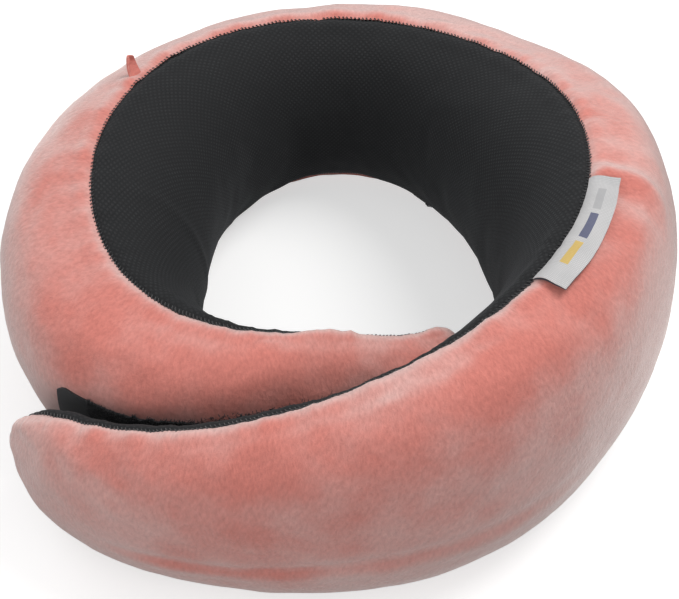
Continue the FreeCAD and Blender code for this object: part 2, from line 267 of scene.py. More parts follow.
def cloth_mesh(name, grid, rows, flip, material):
    """A mesh of some rows of a grid, with UVs in metres and normals of the whole grid."""
    points = grid["points"][rows]
    normals = grid_normals(grid["points"], grid["side"])[rows]
    n_rows, n_columns = points.shape[:2]
    index = np.arange(n_rows * n_columns).reshape(n_rows, n_columns)
    quads = np.stack([index[:-1, :-1], index[1:, :-1], index[1:, 1:], index[:-1, 1:]], -1).reshape(-1, 4)
    if flip:
        quads = quads[:, ::-1]
    mesh = bpy.data.meshes.new(name)
    mesh.from_pydata(points.reshape(-1, 3).tolist(), [], quads.tolist())
    uv = np.stack([grid["s"][rows].ravel(), grid["across"][rows].ravel()], 1)
    layer = mesh.uv_layers.new(name="cloth")
    loop_vertices = np.zeros(len(mesh.loops), int)
    mesh.loops.foreach_get("vertex_index", loop_vertices)
    layer.data.foreach_set("uv", uv[loop_vertices].ravel().astype(np.float32))
    mesh.shade_smooth()
    # painted sheen: this attribute is 1 where the cloth turns edge-on to the sheen axis and 0 where it faces
    # along it
    painted_sheen = mesh.attributes.new("painted_sheen", "FLOAT", "POINT")
    painted_sheen.data.foreach_set("value", (1 - np.abs(normals.reshape(-1, 3) @ PAINTED_SHEEN_AXIS)).astype(np.float32))
    mesh.normals_split_custom_set_from_vertices(normals.reshape(-1, 3).tolist())
    piece = bpy.data.objects.new(name, mesh)
    bpy.context.scene.collection.objects.link(piece)
    piece.data.materials.append(material)
    return piece


# ---- materials -------------------------------------------------------------------------------

class Shader:
    """A material with one Principled shader and short helpers for its procedural nodes."""

    def __init__(self, name, colour, roughness, **settings):
        self.material = bpy.data.materials.new(name)
        self.material.use_nodes = True
        self.nodes = self.material.node_tree.nodes
        self.links = self.material.node_tree.links
        self.shader = self.nodes["Principled BSDF"]
        self.shader.inputs["Base Color"].default_value = (*colour, 1)
        self.shader.inputs["Roughness"].default_value = roughness
        for key, value in settings.items():
            self.shader.inputs[key.replace("_", " ")].default_value = value

    def node(self, kind, inputs=(), **settings):
        made = self.nodes.new(kind)
        for key, value in settings.items():
            setattr(made, key, value)
        for key, value in dict(inputs).items():
            if isinstance(value, bpy.types.NodeSocket):
                self.links.new(value, made.inputs[key])
            else:
                made.inputs[key].default_value = value
        return made

    def place(self, source="Object", scale=(1, 1, 1), turn=0.0):
        coordinates = self.node("ShaderNodeTexCoord").outputs[source]
        mapping = self.node("ShaderNodeMapping", {
            "Vector": coordinates, "Scale": scale, "Rotation": (0, 0, turn)})
        return mapping.outputs["Vector"]

    def noise(self, vector, scale, detail=2.0, roughness=0.55):
        made = self.node("ShaderNodeTexNoise", {
            "Vector": vector, "Scale": scale, "Detail": detail, "Roughness": roughness})
        return made.outputs["Fac"]

    def math(self, operation, *values):
        return self.node("ShaderNodeMath", dict(enumerate(values)), operation=operation).outputs[0]

    def ramp(self, factor, *stops):
        """stops: (position, colour)."""
        made = self.node("ShaderNodeValToRGB", {"Fac": factor})
        elements = made.color_ramp.elements
        while len(elements) < len(stops):
            elements.new(0.5)
        for element, (position, colour) in zip(elements, stops):
            element.position = position
            element.color = (*colour, 1)
        return made.outputs["Color"]

    def mix(self, factor, first, second, blend="MIX"):
        made = self.node("ShaderNodeMix", data_type="RGBA", blend_type=blend)
        given = ((made.inputs[0], factor), (made.inputs[6], first), (made.inputs[7], second))
        for socket, value in given:
            if isinstance(value, bpy.types.NodeSocket):
                self.links.new(value, socket)
            else:
                socket.default_value = value
        return made.outputs[2]

    def bump(self, height, distance, strength=1.0, under=None):
        inputs = {"Height": height, "Distance": distance, "Strength": strength}
        if under is not None:
            inputs["Normal"] = under
        return self.node("ShaderNodeBump", inputs).outputs["Normal"]

    def finish(self, colour=None, normal=None, roughness=None):
        for key, value in (("Base Color", colour), ("Normal", normal), ("Roughness", roughness)):
            if value is not None:
                self.links.new(value, self.shader.inputs[key])
        return self.material


def plush_material():
    """Short velour: deep where the cloth faces along the sheen axis and paler as it turns away, a painted
    sheen, and paler again in random patches of brushed pile.
    """
    m = Shader("plush_velour", (0.60, 0.23, 0.20), 0.8, Sheen_Weight=1.0, Sheen_Roughness=0.33,
               Sheen_Tint=(1.0, 0.92, 0.90, 1), Specular_IOR_Level=0.25)
    place = m.place()
    painted_sheen = m.node("ShaderNodeAttribute", attribute_name="painted_sheen").outputs["Fac"]
    broad = m.noise(place, 13, 2, 0.5)
    patches = m.noise(place, 48, 4, 0.58)
    # paleness: painted sheen from the facing attribute, added to random patches of brushed pile
    lean = m.math("ADD", m.math("MULTIPLY", painted_sheen, 1.6), m.math("MULTIPLY", broad, 1.1))
    lean = m.math("ADD", lean, m.math("MULTIPLY", patches, 0.85))
    pale = m.node("ShaderNodeMapRange", {
        "Value": lean, "From Min": 0.9, "From Max": 2.05, "To Min": 0.0, "To Max": 1.0},
        interpolation_type="SMOOTHSTEP").outputs[0]
    # deep colour, and the pale colour that carries both the painted sheen and the real patches
    base = m.mix(pale, (0.60, 0.200, 0.165, 1), (0.68, 0.435, 0.405, 1))
    streaks = m.noise(m.place("UV", (1, 0.45, 1), 0.5), 800, 3, 0.65)
    pile = m.noise(place, 2600, 2, 0.7)
    grain = m.ramp(streaks, (0.3, (0.82, 0.79, 0.79)), (0.7, (1.12, 1.12, 1.12)))
    colour = m.mix(0.8, base, grain, "MULTIPLY")
    soft = m.bump(patches, 0.0008, 0.4)
    combed = m.bump(streaks, 0.0005, 0.8, soft)
    fibres = m.bump(pile, 0.00018, 0.6, combed)
    return m.finish(colour, fibres)


def lining_material():
    """Charcoal spacer mesh: rows of small raised cells over a fine knit, the cells painted lighter as a
    painted highlight where they catch the light.
    """
    m = Shader("lining_mesh", (0.012, 0.0125, 0.014), 0.85, Sheen_Weight=0.06, Sheen_Roughness=0.5,
               Sheen_Tint=(0.75, 0.8, 0.85, 1), Specular_IOR_Level=0.12)
    pitch = 3.0 * MM
    dots = []
    for shift in ((0.0, 0.0), (0.5, 0.5)):
        place = m.place("UV", (1 / pitch, 1.35 / pitch, 1))
        moved = m.node("ShaderNodeVectorMath", {0: place, 1: (*shift, 0)}, operation="ADD").outputs[0]
        cell = m.node("ShaderNodeVectorMath", {0: moved}, operation="FRACTION").outputs[0]
        middle = m.node(
            "ShaderNodeVectorMath", {0: cell, 1: (0.5, 0.5, 0)}, operation="SUBTRACT").outputs[0]
        flat = m.node("ShaderNodeVectorMath", {0: middle, 1: (1, 1, 0)}, operation="MULTIPLY").outputs[0]
        away = m.node("ShaderNodeVectorMath", {0: flat}, operation="LENGTH").outputs["Value"]
        made = m.node("ShaderNodeMapRange", {
            "Value": away, "From Min": 0.10, "From Max": 0.30, "To Min": 1.0, "To Max": 0.0},
            interpolation_type="SMOOTHSTEP")
        dots.append(made.outputs[0])
    raised = m.math("MAXIMUM", dots[0], dots[1])
    uneven = m.noise(m.place(), 160, 2)
    raised = m.math("MULTIPLY", raised, uneven)
    knit = m.noise(m.place("UV", (1, 1.8, 1)), 1700, 2, 0.6)
    base = m.ramp(knit, (0.3, (0.011, 0.0114, 0.012)), (0.7, (0.024, 0.0245, 0.026)))
    # painted highlight: the raised cells are coloured lighter than the knit around them
    colour = m.mix(raised, base, (0.035, 0.036, 0.038, 1))
    bumped = m.bump(raised, 0.0004, 0.5)
    return m.finish(colour, m.bump(knit, 0.0002, 0.6, bumped))


def thread_material(name, colour):
    m = Shader(name, colour, 0.7, Sheen_Weight=0.3)
    twist = m.noise(m.place("Object", (1, 1, 1)), 1800, 1)
    light = tuple(min(1, 1.6 * c + 0.01) for c in colour)
    return m.finish(m.ramp(twist, (0.35, colour), (0.65, light)), m.bump(twist, 0.0002, 0.5))


def label_material():
    """Woven satin: fine ribs, a soft gloss and three plain woven bars."""
    m = Shader("label_satin", (0.60, 0.57, 0.57), 0.5, Sheen_Weight=0.15, Anisotropic=0.4)
    weft = m.node("ShaderNodeTexWave", {"Vector": m.place("UV"), "Scale": 620.0, "Distortion": 0.6},
                  bands_direction="Y").outputs["Fac"]
    warp = m.node("ShaderNodeTexWave", {"Vector": m.place("UV"), "Scale": 480.0, "Distortion": 0.6},
                  bands_direction="X").outputs["Fac"]
    weave = m.math("MULTIPLY", weft, warp)
    cloudy = m.noise(m.place(), 120, 2)
    colour = m.ramp(weave, (0.0, (0.42, 0.415, 0.42)), (1.0, (0.60, 0.595, 0.60)))
    shade = m.ramp(cloudy, (0.3, (0.88, 0.9, 0.9)), (0.7, (1.05, 1.05, 1.05)))
    colour = m.mix(0.5, colour, shade, "MULTIPLY")
    apart = m.node("ShaderNodeSeparateXYZ", {"Vector": m.place("UV")})
    across = m.math("COMPARE", apart.outputs["Y"], 6.2 * MM, 1.5 * MM)
    # middle and half length in mm, from the label's upper end
    bars = (
        (12.0, 5.5, (0.34, 0.34, 0.35)),
        (26.0, 6.5, (0.02, 0.03, 0.11)),
        (40.0, 5.5, (0.55, 0.36, 0.04)),
    )
    for middle, half, ink in bars:
        along = m.math("COMPARE", apart.outputs["X"], middle * MM, half * MM)
        inside = m.math("MULTIPLY", m.math("MULTIPLY", along, across), 0.85)
        colour = m.mix(inside, colour, (*ink, 1))
    return m.finish(colour, m.bump(weave, 0.00012, 0.6))


def woven_material(name, colour, scale=900, roughness=0.8):
    m = Shader(name, colour, roughness, Sheen_Weight=0.2)
    weave = m.noise(m.place("Object"), scale, 2, 0.7)
    light = tuple(min(1, 1.7 * c + 0.008) for c in colour)
    return m.finish(m.ramp(weave, (0.35, colour), (0.65, light)), m.bump(weave, 0.0002, 0.7))


def enamel_material():
    m = Shader("zip_enamel", (0.05, 0.05, 0.055), 0.32, Metallic=0.6, Coat_Weight=0.4)
    worn = m.noise(m.place(), 700, 3)
    return m.finish(m.ramp(worn, (0.45, (0.04, 0.04, 0.045)), (0.7, (0.13, 0.13, 0.135))),
                    m.bump(worn, 0.00005, 0.4))


PLUSH = plush_material()
LINING = lining_material()
THREAD = thread_material("seam_thread", (0.013, 0.013, 0.015))
LABEL = label_material()
# painted shade: the inner layer of the folded label is near-black to stand for the shade inside the fold
LABEL_INSIDE = woven_material("label_inside", (0.04, 0.045, 0.06))
LOOPS = woven_material("loop_pile", (0.006, 0.006, 0.008), 1400, 0.9)
HOOKS = woven_material("hook_pile", (0.012, 0.012, 0.014), 1400, 0.6)
TAPE = woven_material("zip_tape_weave", (0.012, 0.012, 0.014), 1100)
COIL = thread_material("zip_coil", (0.02, 0.02, 0.023))
ENAMEL = enamel_material()

# ---- shape of the sewn cover -----------------------------------------------------------------

LABEL_FROM = BAND.distance(-41.5)
LABEL_TO = BAND.distance(-9.5)
LABEL_WIDTH = 13 * MM
TAB_AT = BAND.distance(134)


def seam_pull(grid):
    """The sewn edge: a valley at the seam, a soft lip beside it and small uneven gathers."""
    s, across = grid["s"], grid["across"]
    line = np.stack([s, 0 * s, 0 * s], -1)
    gathers = cloud(line[:, :1], 7 * MM, 2, 3.0) + 0.6 * cloud(line[:, :1], 2.6 * MM, 1, 9.0)
    valley = -0.9 * bell(across, 1.5 * MM)
    lip = 0.7 * bell(across - 4.5 * MM, 3.5 * MM)
    pulled = 0.55 * gathers * bell(across - 2.5 * MM, 6 * MM)
    lower = grid["across"][:, -1:] - across
    return (valley + lip + pulled - 1.2 * bell(lower, 2 * MM) + 0.4 * bell(lower - 5 * MM, 4 * MM)) * MM


def plush_relief(grid):
    s, across, points = grid["s"], grid["across"], grid["points"]
    relief = seam_pull(grid)
    relief += 0.9 * MM * cloud(points, 48 * MM, 2) + 0.28 * MM * cloud(points, 14 * MM, 2, 5.0)
    # folds that run out from the upper end of the label
    along = s - LABEL_TO - 2 * MM
    reach = smooth(0, 8 * MM, across) * (1 - smooth(18 * MM, 42 * MM, across))
    relief += 1.7 * MM * bell(along - 3 * MM + 0.10 * across, 4.0 * MM) * reach
    relief -= 1.3 * MM * bell(along + 5 * MM + 0.16 * across, 4.5 * MM) * reach
    relief += 0.7 * MM * bell(along - 14 * MM - 0.1 * across, 5 * MM) * reach
    # a small fold at the tab
    relief += 0.9 * MM * bell(s - TAB_AT - 4 * MM, 2.5 * MM) * bell(across - 5 * MM, 7 * MM)
    relief -= 1.0 * MM * bell(s - TAB_AT + 1 * MM, 2.5 * MM) * bell(across - 4 * MM, 6 * MM)
    # the crease where the cloth turns under along the outer arm
    share = across / across[:, -1:]
    front = smooth(40 * MM, 70 * MM, s) * (1 - smooth(190 * MM, 240 * MM, s))
    relief -= 0.7 * MM * front * bell(share - 0.56, 0.022)
    relief += 0.5 * MM * front * bell(share - 0.61, 0.03)
    return relief


def lining_relief(grid):
    s, across, points = grid["s"], grid["across"], grid["points"]
    relief = seam_pull(grid) + 0.5 * MM * cloud(points, 40 * MM, 2, 2.0)
    crease = BAND.distance(170)
    relief += 0.6 * MM * bell(s - crease - 0.05 * across, 4 * MM) * smooth(8 * MM, 25 * MM, across)
    return relief


def spread(values, count, axis):
    """Resample a grid of values along one axis."""
    old = np.linspace(0, 1, values.shape[axis])
    new = np.linspace(0, 1, count)
    return np.apply_along_axis(lambda line: np.interp(new, old, line), axis, values)


def blur(values, passes):
    """Average each value with its neighbours, several times."""
    for _ in range(passes):
        padded = np.pad(values, 1, mode="edge")
        beside = padded[:-2, 1:-1] + padded[2:, 1:-1] + padded[1:-1, :-2] + padded[1:-1, 2:]
        values = (beside + 2 * values) / 6
    return values


SIMULATED_ROWS = 170
SIMULATED_FRAMES = 20
PRESSURE = 4
MOST_MOVEMENT = 8 * MM
BROAD_PASSES = 60              # blurring that leaves only the broad swelling
FINE_PASSES = 6


def sewn_wrinkles(grid, columns, slack, most):
    """Cloth simulation: a slack cover held along its seams is blown out, and keeps its wrinkles.

    slack is the share by which the cloth is too large; most caps the wrinkles' height.
    """
    rows = SIMULATED_ROWS
    picked_rows = np.linspace(0, grid["points"].shape[0] - 1, rows).round().astype(int)
    picked_columns = np.linspace(0, grid["points"].shape[1] - 1, columns).round().astype(int)
    start = grid["points"][np.ix_(picked_rows, picked_columns)]
    index = np.arange(rows * columns).reshape(rows, columns)
    quads = np.stack([index[:-1, :-1], index[1:, :-1], index[1:, 1:], index[:-1, 1:]], -1).reshape(-1, 4)
    if grid["side"] == "plush":
        quads = quads[:, ::-1]
    mesh = bpy.data.meshes.new("trial")
    mesh.from_pydata(start.reshape(-1, 3).tolist(), [], quads.tolist())
    trial = bpy.data.objects.new("trial", mesh)
    bpy.context.scene.collection.objects.link(trial)
    held = np.unique(np.concatenate([index[:, 0], index[:, -1], index[:3].ravel(), index[-3:].ravel()]))
    trial.vertex_groups.new(name="held").add(held.tolist(), 1.0, "REPLACE")
    cloth = trial.modifiers.new("cloth", "CLOTH")
    cloth.settings.vertex_group_mass = "held"
    cloth.settings.quality = 6
    cloth.settings.mass = 0.25
    cloth.settings.tension_stiffness = 25
    cloth.settings.compression_stiffness = 25
    cloth.settings.shear_stiffness = 8
    cloth.settings.bending_stiffness = 0.08
    cloth.settings.shrink_min = -slack
    cloth.settings.use_pressure = True
    cloth.settings.uniform_pressure_force = PRESSURE
    cloth.settings.effector_weights.gravity = 0
    cloth.point_cache.frame_start = 1
    cloth.point_cache.frame_end = SIMULATED_FRAMES
    for frame_number in range(1, SIMULATED_FRAMES + 1):
        bpy.context.scene.frame_set(frame_number)
    settled = trial.evaluated_get(bpy.context.evaluated_depsgraph_get()).data
    places = np.zeros(rows * columns * 3, np.float32)
    settled.vertices.foreach_get("co", places)
    bpy.context.scene.frame_set(1)
    bpy.data.objects.remove(trial)
    normals = grid_normals(start, grid["side"])
    out = np.sum((places.reshape(start.shape) - start) * normals, axis=2)
    out = np.clip(out, -MOST_MOVEMENT, MOST_MOVEMENT)
    wrinkles = out - blur(out, BROAD_PASSES)
    wrinkles = most * np.tanh(wrinkles / (1.5 * most))
    fine = spread(spread(wrinkles, grid["points"].shape[0], 0), grid["points"].shape[1], 1)
    return blur(fine, FINE_PASSES)


plush = cloth_grid("plush", 110)
lining = cloth_grid("lining", 64)
displace(plush, sewn_wrinkles(plush, 40, 0.035, 1.3 * MM))
displace(lining, sewn_wrinkles(lining, 24, 0.02, 0.5 * MM))
displace(plush, plush_relief(plush))
displace(lining, lining_relief(lining))

# ---- the cover cut into lengths, one across each fold ----------------------------------------

joints = {joint["name"]: joint for joint in frame["joints"]}


def fold(joint_name, azimuth, before, after):
    """Start and end of a soft bend; before is on the parent's side of the hinge."""
    joint = joints[joint_name]
    tangent = BAND.at(BAND.distance(azimuth))["tangent"]
    hinge = np.array(joint["pos_m"])
    return {
        "bodies": (joint["parent"], joint["child"]),
        "start": hinge + tangent * before, "end": hinge + tangent * after,
    }


# Each length of cover crosses one fold: it begins and ends where a body carries it alone.
LENGTHS = {
    "outer_tip": (0.0, BAND.distance(-35), fold("outer_tip_peel", -72, 35 * MM, -35 * MM)),
    "outer_arm": (BAND.distance(-35), BAND.distance(90), fold("outer_arm_open", 5, 42 * MM, -26 * MM)),
    "inner_arm": (BAND.distance(90), BAND.length, fold("inner_arm_open", 175, -32 * MM, 28 * MM)),
}


def bend(piece):
    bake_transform(piece)


def rows_of(grid, length_name):
    first, last, _ = LENGTHS[length_name]
    s = grid["s"][:, 0]
    low = int(np.searchsorted(s, first)) if first > 0 else 0
    high = int(np.searchsorted(s, last)) if last < BAND.length else len(s) - 1
    return slice(low, high + 1)


REPLACED = {
    "outer_tip": ("outer_tip", "outer_arm"), "outer_arm": ("outer_arm", "back"),
    "inner_arm": ("back", "inner_arm"),
}
for length_name, replaced in REPLACED.items():
    skins = (("plush", plush, True, PLUSH, "plush"), ("lining", lining, False, LINING, "lining_mesh"))
    for name, grid, flip, material, slot in skins:
        rows = rows_of(grid, length_name)
        piece = cloth_mesh(f"{name}_cover_{length_name}", grid, rows, flip, material)
        bend(piece)
        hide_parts(*(f"{name}_{body}" for body in replaced))
        if name == "plush":
            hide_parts(*(f"{inner}_{body}" for inner in ("foam", "liner") for body in replaced))

# ---- tubes: stitches, loops, coil ------------------------------------------------------------


class Tubes:
    """Many fine threads gathered into one mesh."""

    def __init__(self, sides=6):
        self.sides = sides
        self.points = []
        self.faces = []
        self.count = 0

    def add(self, path, radius, reference):
        path = np.asarray(path, float)
        ahead = np.gradient(path, axis=0)
        ahead /= np.maximum(np.linalg.norm(ahead, axis=1), 1e-12)[:, None]
        side = np.cross(ahead, reference)
        side /= np.maximum(np.linalg.norm(side, axis=1), 1e-12)[:, None]
        over = np.cross(side, ahead)
        turn = np.linspace(0, 2 * np.pi, self.sides, endpoint=False)
        ring = side[:, None] * np.cos(turn)[:, None] + over[:, None] * np.sin(turn)[:, None]
        taper = np.ones(len(path))
        taper[[0, -1]] = 0.35
        rings = path[:, None] + ring * (radius * taper)[:, None, None]
        self.points.append(rings.reshape(-1, 3))
        index = self.count + np.arange(len(path) * self.sides).reshape(len(path), self.sides)
        after = np.roll(index, -1, axis=1)
        quads = np.stack([index[:-1], after[:-1], after[1:], index[1:]], -1).reshape(-1, 4)
        self.faces += quads.tolist() + [index[0][::-1].tolist(), index[-1].tolist()]
        self.count += len(path) * self.sides

    def build(self, name, material):
        mesh = bpy.data.meshes.new(name)
        mesh.from_pydata(np.concatenate(self.points).tolist(), [], self.faces)
        mesh.shade_smooth()
        piece = bpy.data.objects.new(name, mesh)
        bpy.context.scene.collection.objects.link(piece)
        mesh.materials.append(material)
        return piece


def on_cloth(grid, s, across):
    """Point and normal on a displaced grid, by distance along the band and from the top seam."""
    rows = grid["s"][:, 0]
    row = np.interp(s, rows, np.arange(len(rows)))
    low = min(int(row), len(rows) - 2)
    found = []
    for r in (low, low + 1):
        columns = grid["across"][r]
        found.append([
            [np.interp(across, columns, field[r, :, k]) for k in range(3)]
            for field in (grid["points"], grid["normals"])])
    mixed = np.array(found[0]) * (1 - (row - low)) + np.array(found[1]) * (row - low)
    return mixed[0], mixed[1] / np.linalg.norm(mixed[1])


for grid in (plush, lining):
    grid["normals"] = grid_normals(grid["points"], grid["side"])

STITCH_PITCH = 1.7 * MM
THREAD_RADIUS = 0.24 * MM


def overlock(length_name, at_lower_seam, first, last, pitch=STITCH_PITCH):
    """A row of overlock loops over a seam, leaning along it."""
    tubes = Tubes()
    rng = np.random.default_rng(11)
    s = first + pitch
    while s < last - pitch:
        width = (0.55 + 0.2 * rng.uniform(-1, 1)) * MM
        lean = 0.35 * pitch
        path = []
        normals = []
        for side, distance, shift in (
                (lining, 1.3 * MM, -lean), (lining, 0.6 * MM, -0.4 * lean), (lining, 0.1 * MM, 0.0),
                (plush, 0.4 * width, 0.4 * lean), (plush, width, lean), (plush, 0.5 * width, 1.6 * lean)):
            place = s + shift
            if at_lower_seam:
                distance = np.interp(place, side["s"][:, 0], side["across"][:, -1]) - distance
            point, normal = on_cloth(side, place, distance)
            path.append(point + normal * 0.25 * MM)
            normals.append(normal)
        tubes.add(path, THREAD_RADIUS, np.mean(normals, axis=0))
        s += pitch * (1 + 0.12 * rng.uniform(-1, 1))
    position = "lower" if at_lower_seam else "top"
    return tubes.build(f"{position}_stitches_{length_name}", THREAD)


for length_name, (first, last, _) in LENGTHS.items():
    first = max(first, 7 * MM)
    last = min(last, BAND.length - 5 * MM)
    piece = overlock(length_name, False, first, last)
    bend(piece)
    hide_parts(*(f"top_seam_{body}" for body in REPLACED[length_name]))
    if length_name == "outer_arm":
        last = ZIP_FROM - 1 * MM
        cords = ("lower_seam_outer_arm", "lower_seam_back_right")
    elif length_name == "inner_arm":
        first = ZIP_TO + 1 * MM
        cords = ("lower_seam_inner_arm", "lower_seam_back_left")
    else:
        cords = ("lower_seam_outer_tip", "lower_seam_outer_arm")
    piece = overlock(length_name, True, first, last, 3.0 * MM)
    bend(piece)
    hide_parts(*cords)

# ---- label, tab and fastening patches --------------------------------------------------------


def sheet_mesh(name, layers, material):
    """A thin closed sheet from an outer and an inner grid of points."""
    outer, inner = layers
    rows, columns = outer.shape[:2]
    points = np.concatenate([outer.reshape(-1, 3), inner.reshape(-1, 3)])
    top = np.arange(rows * columns).reshape(rows, columns)
    under = top + rows * columns
    faces = []
    for grid, flip in ((top, False), (under, True)):
        quads = np.stack([grid[:-1, :-1], grid[1:, :-1], grid[1:, 1:], grid[:-1, 1:]], -1).reshape(-1, 4)
        faces += (quads[:, ::-1] if flip else quads).tolist()
    edge = np.concatenate([top[0, :], top[1:, -1], top[-1, -2::-1], top[-2:0:-1, 0]])
    below = edge + rows * columns
    for i in range(len(edge)):
        j = (i + 1) % len(edge)
        faces.append([int(edge[i]), int(edge[j]), int(below[j]), int(below[i])])
    mesh = bpy.data.meshes.new(name)
    mesh.from_pydata(points.tolist(), [], faces)
    mesh.shade_smooth()
    mesh.materials.append(material)
    layer = mesh.uv_layers.new(name="cloth")
    along = np.cumsum(np.linalg.norm(np.diff(outer[:, 0], axis=0, prepend=outer[:1, 0]), axis=1))
    wide = np.cumsum(np.linalg.norm(np.diff(outer[0], axis=0, prepend=outer[0, :1]), axis=1))
    flat = np.stack(np.meshgrid(along, wide, indexing="ij"), -1).reshape(-1, 2)
    uv = np.concatenate([flat, flat])
    loop_vertices = np.zeros(len(mesh.loops), int)
    mesh.loops.foreach_get("vertex_index", loop_vertices)
    layer.data.foreach_set("uv", uv[loop_vertices].ravel().astype(np.float32))
    piece = bpy.data.objects.new(name, mesh)
    bpy.context.scene.collection.objects.link(piece)
    edge_bevel = piece.modifiers.new("edges", "EDGE_SPLIT")
    edge_bevel.split_angle = math.radians(50)
    return piece


def label_layer(stand_off):
    """The label leaves the seam, lies over the plush and lifts a little towards its folded edge."""
    grid = []
    for s in np.linspace(LABEL_FROM, LABEL_TO, 60):
        end = (s - LABEL_FROM) / (LABEL_TO - LABEL_FROM)
        row = []
        for share in np.linspace(0, 1, 12):
            point, normal = on_cloth(plush, s, 0.5 * MM + share * (LABEL_WIDTH - 2.5 * MM * end))
            lift = 0.5 + 2.0 * share ** 1.3 + 1.2 * share * bell(end, 0.12) + 0.8 * share * bell(end - 1, 0.15)
            row.append(point + normal * (lift * MM + stand_off * (0.35 + 0.65 * math.sin(math.pi * share))))
        grid.append(row)
    return np.array(grid)


outer_layer = label_layer(0.55 * MM)
inner_layer = label_layer(-0.25 * MM)
THIN = 0.22 * MM


def offset_layer(layer, distance):
    along = np.gradient(layer, axis=0)
    across = np.gradient(layer, axis=1)
    normals = np.cross(across, along)
    normals /= np.linalg.norm(normals, axis=2)[..., None]
    return layer + normals * distance


front_layers = (offset_layer(outer_layer, THIN)[::-1], outer_layer[::-1])
front = sheet_mesh("label_front", front_layers, LABEL)
# the inner layer carries the near-black painted shade of the fold
back_layers = (inner_layer[::-1], offset_layer(inner_layer, -THIN)[::-1])
back = sheet_mesh("label_back", back_layers, LABEL_INSIDE)
for piece in (front, back):
    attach(piece, "outer_arm")
    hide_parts("side_label")

tab_rows = []
tab_point, tab_normal = on_cloth(plush, TAB_AT, 3.0 * MM)
tab_tangent = BAND.at(TAB_AT)["tangent"]
tab_outward = BAND.at(TAB_AT)["outward"]
for share in np.linspace(0, 1, 14):
    height = (-1.5 + 9.0 * share) * MM
    curl = 4.0 * MM * math.sin(1.8 * share)
    half_width = (3.3 - 1.2 * share ** 2) * MM
    middle = tab_point + tab_normal * height + tab_outward * curl
    row = []
    for across in np.linspace(-1, 1, 9):
        cup = 1.4 * MM * across ** 2 * (0.4 + share)
        beside = half_width * across * (1 - 0.35 * share ** 4)
        row.append(middle + tab_tangent * beside - tab_outward * cup)
    tab_rows.append(row)
tab_rows = np.array(tab_rows)
tab_layers = (tab_rows + 0.55 * MM * tab_outward, tab_rows - 0.55 * MM * tab_outward)
tab = sheet_mesh("seam_tab_fold", tab_layers, PLUSH)
tab.modifiers.clear()
rounding = tab.modifiers.new("round", "SUBSURF")
rounding.levels = rounding.render_levels = 2
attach(tab, "back")
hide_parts("seam_tab")


def patch_layers(grid, azimuths, low, high_first, high_last, thickness):
    """A patch lying on a cloth between two heights."""
    first = BAND.distance(azimuths[0])
    last = BAND.distance(azimuths[1])
    bottom, top = [], []
    for s in np.linspace(first, last, 70):
        share = (s - first) / (last - first)
        row_across = np.linspace(0, np.interp(s, grid["s"][:, 0], grid["across"][:, -1]), 160)
        r = int(np.searchsorted(grid["s"][:, 0], s))
        heights = np.interp(row_across, grid["across"][r], grid["points"][r, :, 2])
        end = 1 - smooth(0, 3 * MM, np.minimum(s - first, last - s))
        high = (high_first + (high_last - high_first) * share) * MM - 2.5 * MM * end ** 2
        base = low * MM + 2.5 * MM * end ** 2
        peak = int(np.argmax(heights))
        falling = heights[peak:]
        upper = row_across[peak + int(np.argmax(falling < high))]
        lower = row_across[peak + int(np.argmax(falling < base))]
        placed = [on_cloth(grid, s, across) for across in np.linspace(upper, lower, 26)]
        bottom.append([point + normal * 0.05 * MM for point, normal in placed])
        top.append([point + normal * (thickness + 0.05 * MM) for point, normal in placed])
    return np.array(top), np.array(bottom)


top, bottom = patch_layers(plush, (204, 268), 20, 61.5, 59, 0.7 * MM)
loop_patch = sheet_mesh("loop_patch_pile", (top[::-1], bottom[::-1]), LOOPS)
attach(loop_patch, "inner_arm")
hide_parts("loop_patch")
loop_top = top

top, bottom = patch_layers(lining, (-145, -92), 26, 58, 60, 0.7 * MM)
hook_patch = sheet_mesh("hook_patch_pile", (top, bottom), HOOKS)
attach(hook_patch, "outer_tip")
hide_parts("hook_patch")

# curly pile on the loop patch, longest along its upper edge
curls = Tubes(sides=4)
rng = np.random.default_rng(5)
for _ in range(2400):
    i = int(rng.integers(8, loop_top.shape[0] - 1))
    j = int(min(loop_top.shape[1] - 2, rng.exponential(2.2)))
    root = loop_top[i, j]
    level = loop_top[i, j + 1] - loop_top[i, j]
    level /= np.linalg.norm(level)
    forward = loop_top[i, j] - loop_top[i - 1, j]
    forward /= np.linalg.norm(forward)
    out = np.cross(level, forward)
    out *= np.sign(out @ BAND.at(BAND.distance(235))["outward"]) or 1
    size = rng.uniform(0.35, 0.75) * MM
    heading = rng.uniform(0, 2 * np.pi)
    lean = forward * math.cos(heading) + level * math.sin(heading)
    turn = np.linspace(0, rng.uniform(3.0, 5.5), 8)
    above = (0.5 + 3.2 * smooth(0.25, 0.6, i / loop_top.shape[0])) * MM if j == 0 else 0.0
    root = root - level * above * rng.uniform(0, 1) ** 1.5
    path = [root + lean * size * (1 - math.cos(t)) + out * size * 0.9 * abs(math.sin(t)) for t in turn]
    curls.add(path, 0.11 * MM, out)
curly = curls.build("loop_patch_curls", LOOPS)
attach(curly, "inner_arm")
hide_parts("loop_patch")

# ---- zip -------------------------------------------------------------------------------------

ZIP_RECESS = 2.0 * MM
ZIP_ANGLES = (38, 146)
SLOPE = math.radians(45)


def zip_point(along, out, angle):
    out = out - ZIP_RECESS
    radius = ZIP_RADIUS - along * math.cos(SLOPE) - out * math.sin(SLOPE)
    z = ZIP_HEIGHT + along * math.sin(SLOPE) - out * math.cos(SLOPE)
    turn = math.radians(angle)
    return np.array([ZIP_AXIS[0] + radius * math.cos(turn), ZIP_AXIS[1] + radius * math.sin(turn), z])


